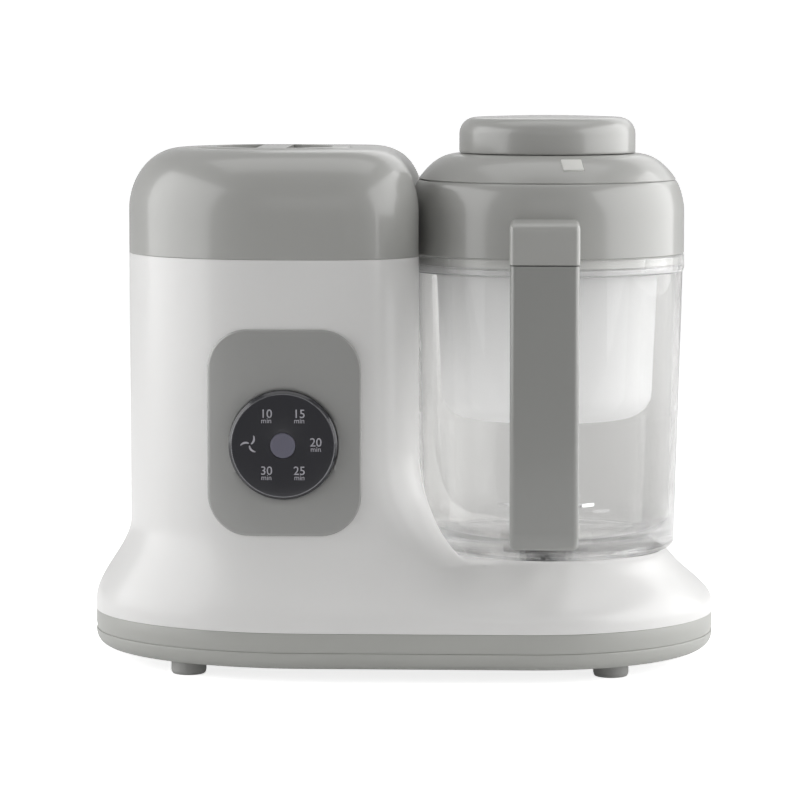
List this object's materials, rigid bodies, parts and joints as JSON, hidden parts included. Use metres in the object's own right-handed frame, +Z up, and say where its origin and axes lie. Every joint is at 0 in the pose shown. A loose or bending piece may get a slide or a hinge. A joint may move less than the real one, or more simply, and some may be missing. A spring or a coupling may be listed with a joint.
{
  "type": "baby food maker",
  "caption": "Countertop food steamer and blender for baby food: steam tower with control disc, long base, clear handled jar with basket, blade, domed lid and feed cap.",
  "frame": {"origin": "centre of the bounding box on the plane that the feet stand on", "axes": "+X along the base from the steam tower to the jar, -Y out of the front with the handle and the controls, +Z up"},
  "size_m": [0.271, 0.173, 0.2379],
  "materials": {
    "white_shell": "gloss moulded ABS",
    "grey_gloss": "gloss moulded ABS",
    "grey_base": "satin moulded ABS",
    "soft_grey": "soft rubber",
    "black_gloss": "piano black with printed numerals",
    "bright_trim": "plated trim",
    "button_grey": "satin button",
    "clear_jar": "clear heat-resistant copolyester",
    "milky_basket": "translucent white polypropylene",
    "pale_insert": "satin polypropylene",
    "silicone": "translucent silicone",
    "red_seal": "silicone seal",
    "blade_steel": "polished stainless steel",
    "shaft_steel": "ground steel",
    "screws": "zinc plated",
    "inner_plastic": "natural glass-filled nylon",
    "dark_plastic": "dark acetal",
    "belt_rubber": "ribbed rubber belt",
    "heater_alloy": "cast heater plate",
    "motor_steel": "pressed steel can",
    "board_green": "circuit board",
    "fuse_ceramic": "ceramic body",
    "led_white": "diffused lamp"
  },
  "bodies": {
    "housing": {"main_housing": "white_shell", "base_band": "grey_base", "bottom_cover": "grey_base", "feet": "soft_grey", "housing_screws": "screws", "tower_cap": "grey_gloss", "control_plate": "grey_gloss", "control_disc": "black_gloss", "disc_ring": "bright_trim", "control_board": "board_green", "tact_switch": "dark_plastic", "indicator_leds": "led_white", "board_screws": "screws", "boiler_tank": "blade_steel", "tank_neck": "pale_insert", "boiler_stand": "inner_plastic", "heater_plate": "heater_alloy", "thermostat": "dark_plastic", "thermal_fuse": "fuse_ceramic", "steam_hose": "silicone", "steam_nozzle": "pale_insert", "nozzle_seal": "silicone", "drive_frame": "inner_plastic", "frame_screws": "screws", "motor": "motor_steel", "drive_belt": "belt_rubber", "lower_bearing": "shaft_steel", "upper_bearing": "shaft_steel", "shaft_seal": "red_seal", "power_board": "board_green", "jar_switch": "dark_plastic", "cord_gland": "soft_grey"},
    "power_button": {"power_button": "button_grey"},
    "drive": {"drive_shaft": "shaft_steel", "driven_pulley": "dark_plastic", "drive_coupling": "dark_plastic"},
    "rotor": {"motor_shaft": "shaft_steel", "drive_pulley": "dark_plastic", "cooling_fan": "dark_plastic"},
    "jar": {"jar": "clear_jar", "jar_handle": "grey_gloss", "handle_screws": "screws", "blade_hub": "pale_insert", "blade_nut": "dark_plastic"},
    "blade": {"blade_shaft": "blade_steel", "blade": "blade_steel", "cap_nut": "blade_steel", "jar_coupling": "dark_plastic"},
    "basket": {"steam_basket": "milky_basket"},
    "lid_seal": {"lid_seal": "silicone"},
    "lid": {"lid_base": "grey_gloss", "lid_dome": "grey_gloss", "steam_vent": "pale_insert"},
    "feed_cap": {"feed_cap": "grey_gloss", "feed_cap_seal": "silicone"},
    "tank_seal": {"tank_lid_seal": "red_seal"},
    "tank_lid": {"tank_lid": "grey_gloss"}
  },
  "joints": [
    {"name": "button_press", "type": "slide", "parent": "housing", "child": "power_button", "axis": [0, 1, 0], "range_m": [0, 0.0008], "stiffness_N_per_m": 900},
    {"name": "drive_spin", "type": "hinge", "parent": "housing", "child": "drive", "pos_m": [0.0625, 0.0085, 0.022], "axis": [0, 0, 1], "continuous": true},
    {"name": "motor_spin", "type": "hinge", "parent": "housing", "child": "rotor", "pos_m": [-0.04515, 0.0085, 0.022], "axis": [0, 0, 1], "continuous": true},
    {"name": "jar_lift", "type": "slide", "parent": "housing", "child": "jar", "axis": [0, 0, 1], "range_m": [0, 0.2]},
    {"name": "blade_spin", "type": "hinge", "parent": "jar", "child": "blade", "pos_m": [0.0625, 0.0085, 0.066], "axis": [0, 0, 1], "continuous": true},
    {"name": "lid_lift", "type": "slide", "parent": "jar", "child": "lid_seal", "axis": [0, 0, 1], "range_m": [0, 0.2]},
    {"name": "lid_turn", "type": "hinge", "parent": "lid_seal", "child": "lid", "pos_m": [0.0625, 0.0085, 0.178], "axis": [0, 0, 1], "range_deg": [0, 30]},
    {"name": "feed_cap_lift", "type": "slide", "parent": "lid", "child": "feed_cap", "axis": [0, 0, 1], "range_m": [0, 0.05]},
    {"name": "basket_lift", "type": "slide", "parent": "jar", "child": "basket", "axis": [0, 0, 1], "range_m": [0, 0.1]},
    {"name": "tank_lid_lift", "type": "slide", "parent": "housing", "child": "tank_seal", "axis": [0, 0, 1], "range_m": [0, 0.06]},
    {"name": "tank_lid_turn", "type": "hinge", "parent": "tank_seal", "child": "tank_lid", "pos_m": [-0.05615, 0.0085, 0.218], "axis": [0, 0, 1], "range_deg": [0, 90]}
  ],
  "couplings": [
    {"joint": "drive_spin", "follows": "motor_spin", "ratio": 0.3125},
    {"joint": "blade_spin", "follows": "motor_spin", "ratio": 0.3125},
    {"joint": "basket_lift", "follows": "lid_lift", "ratio": 0.5}
  ]
}
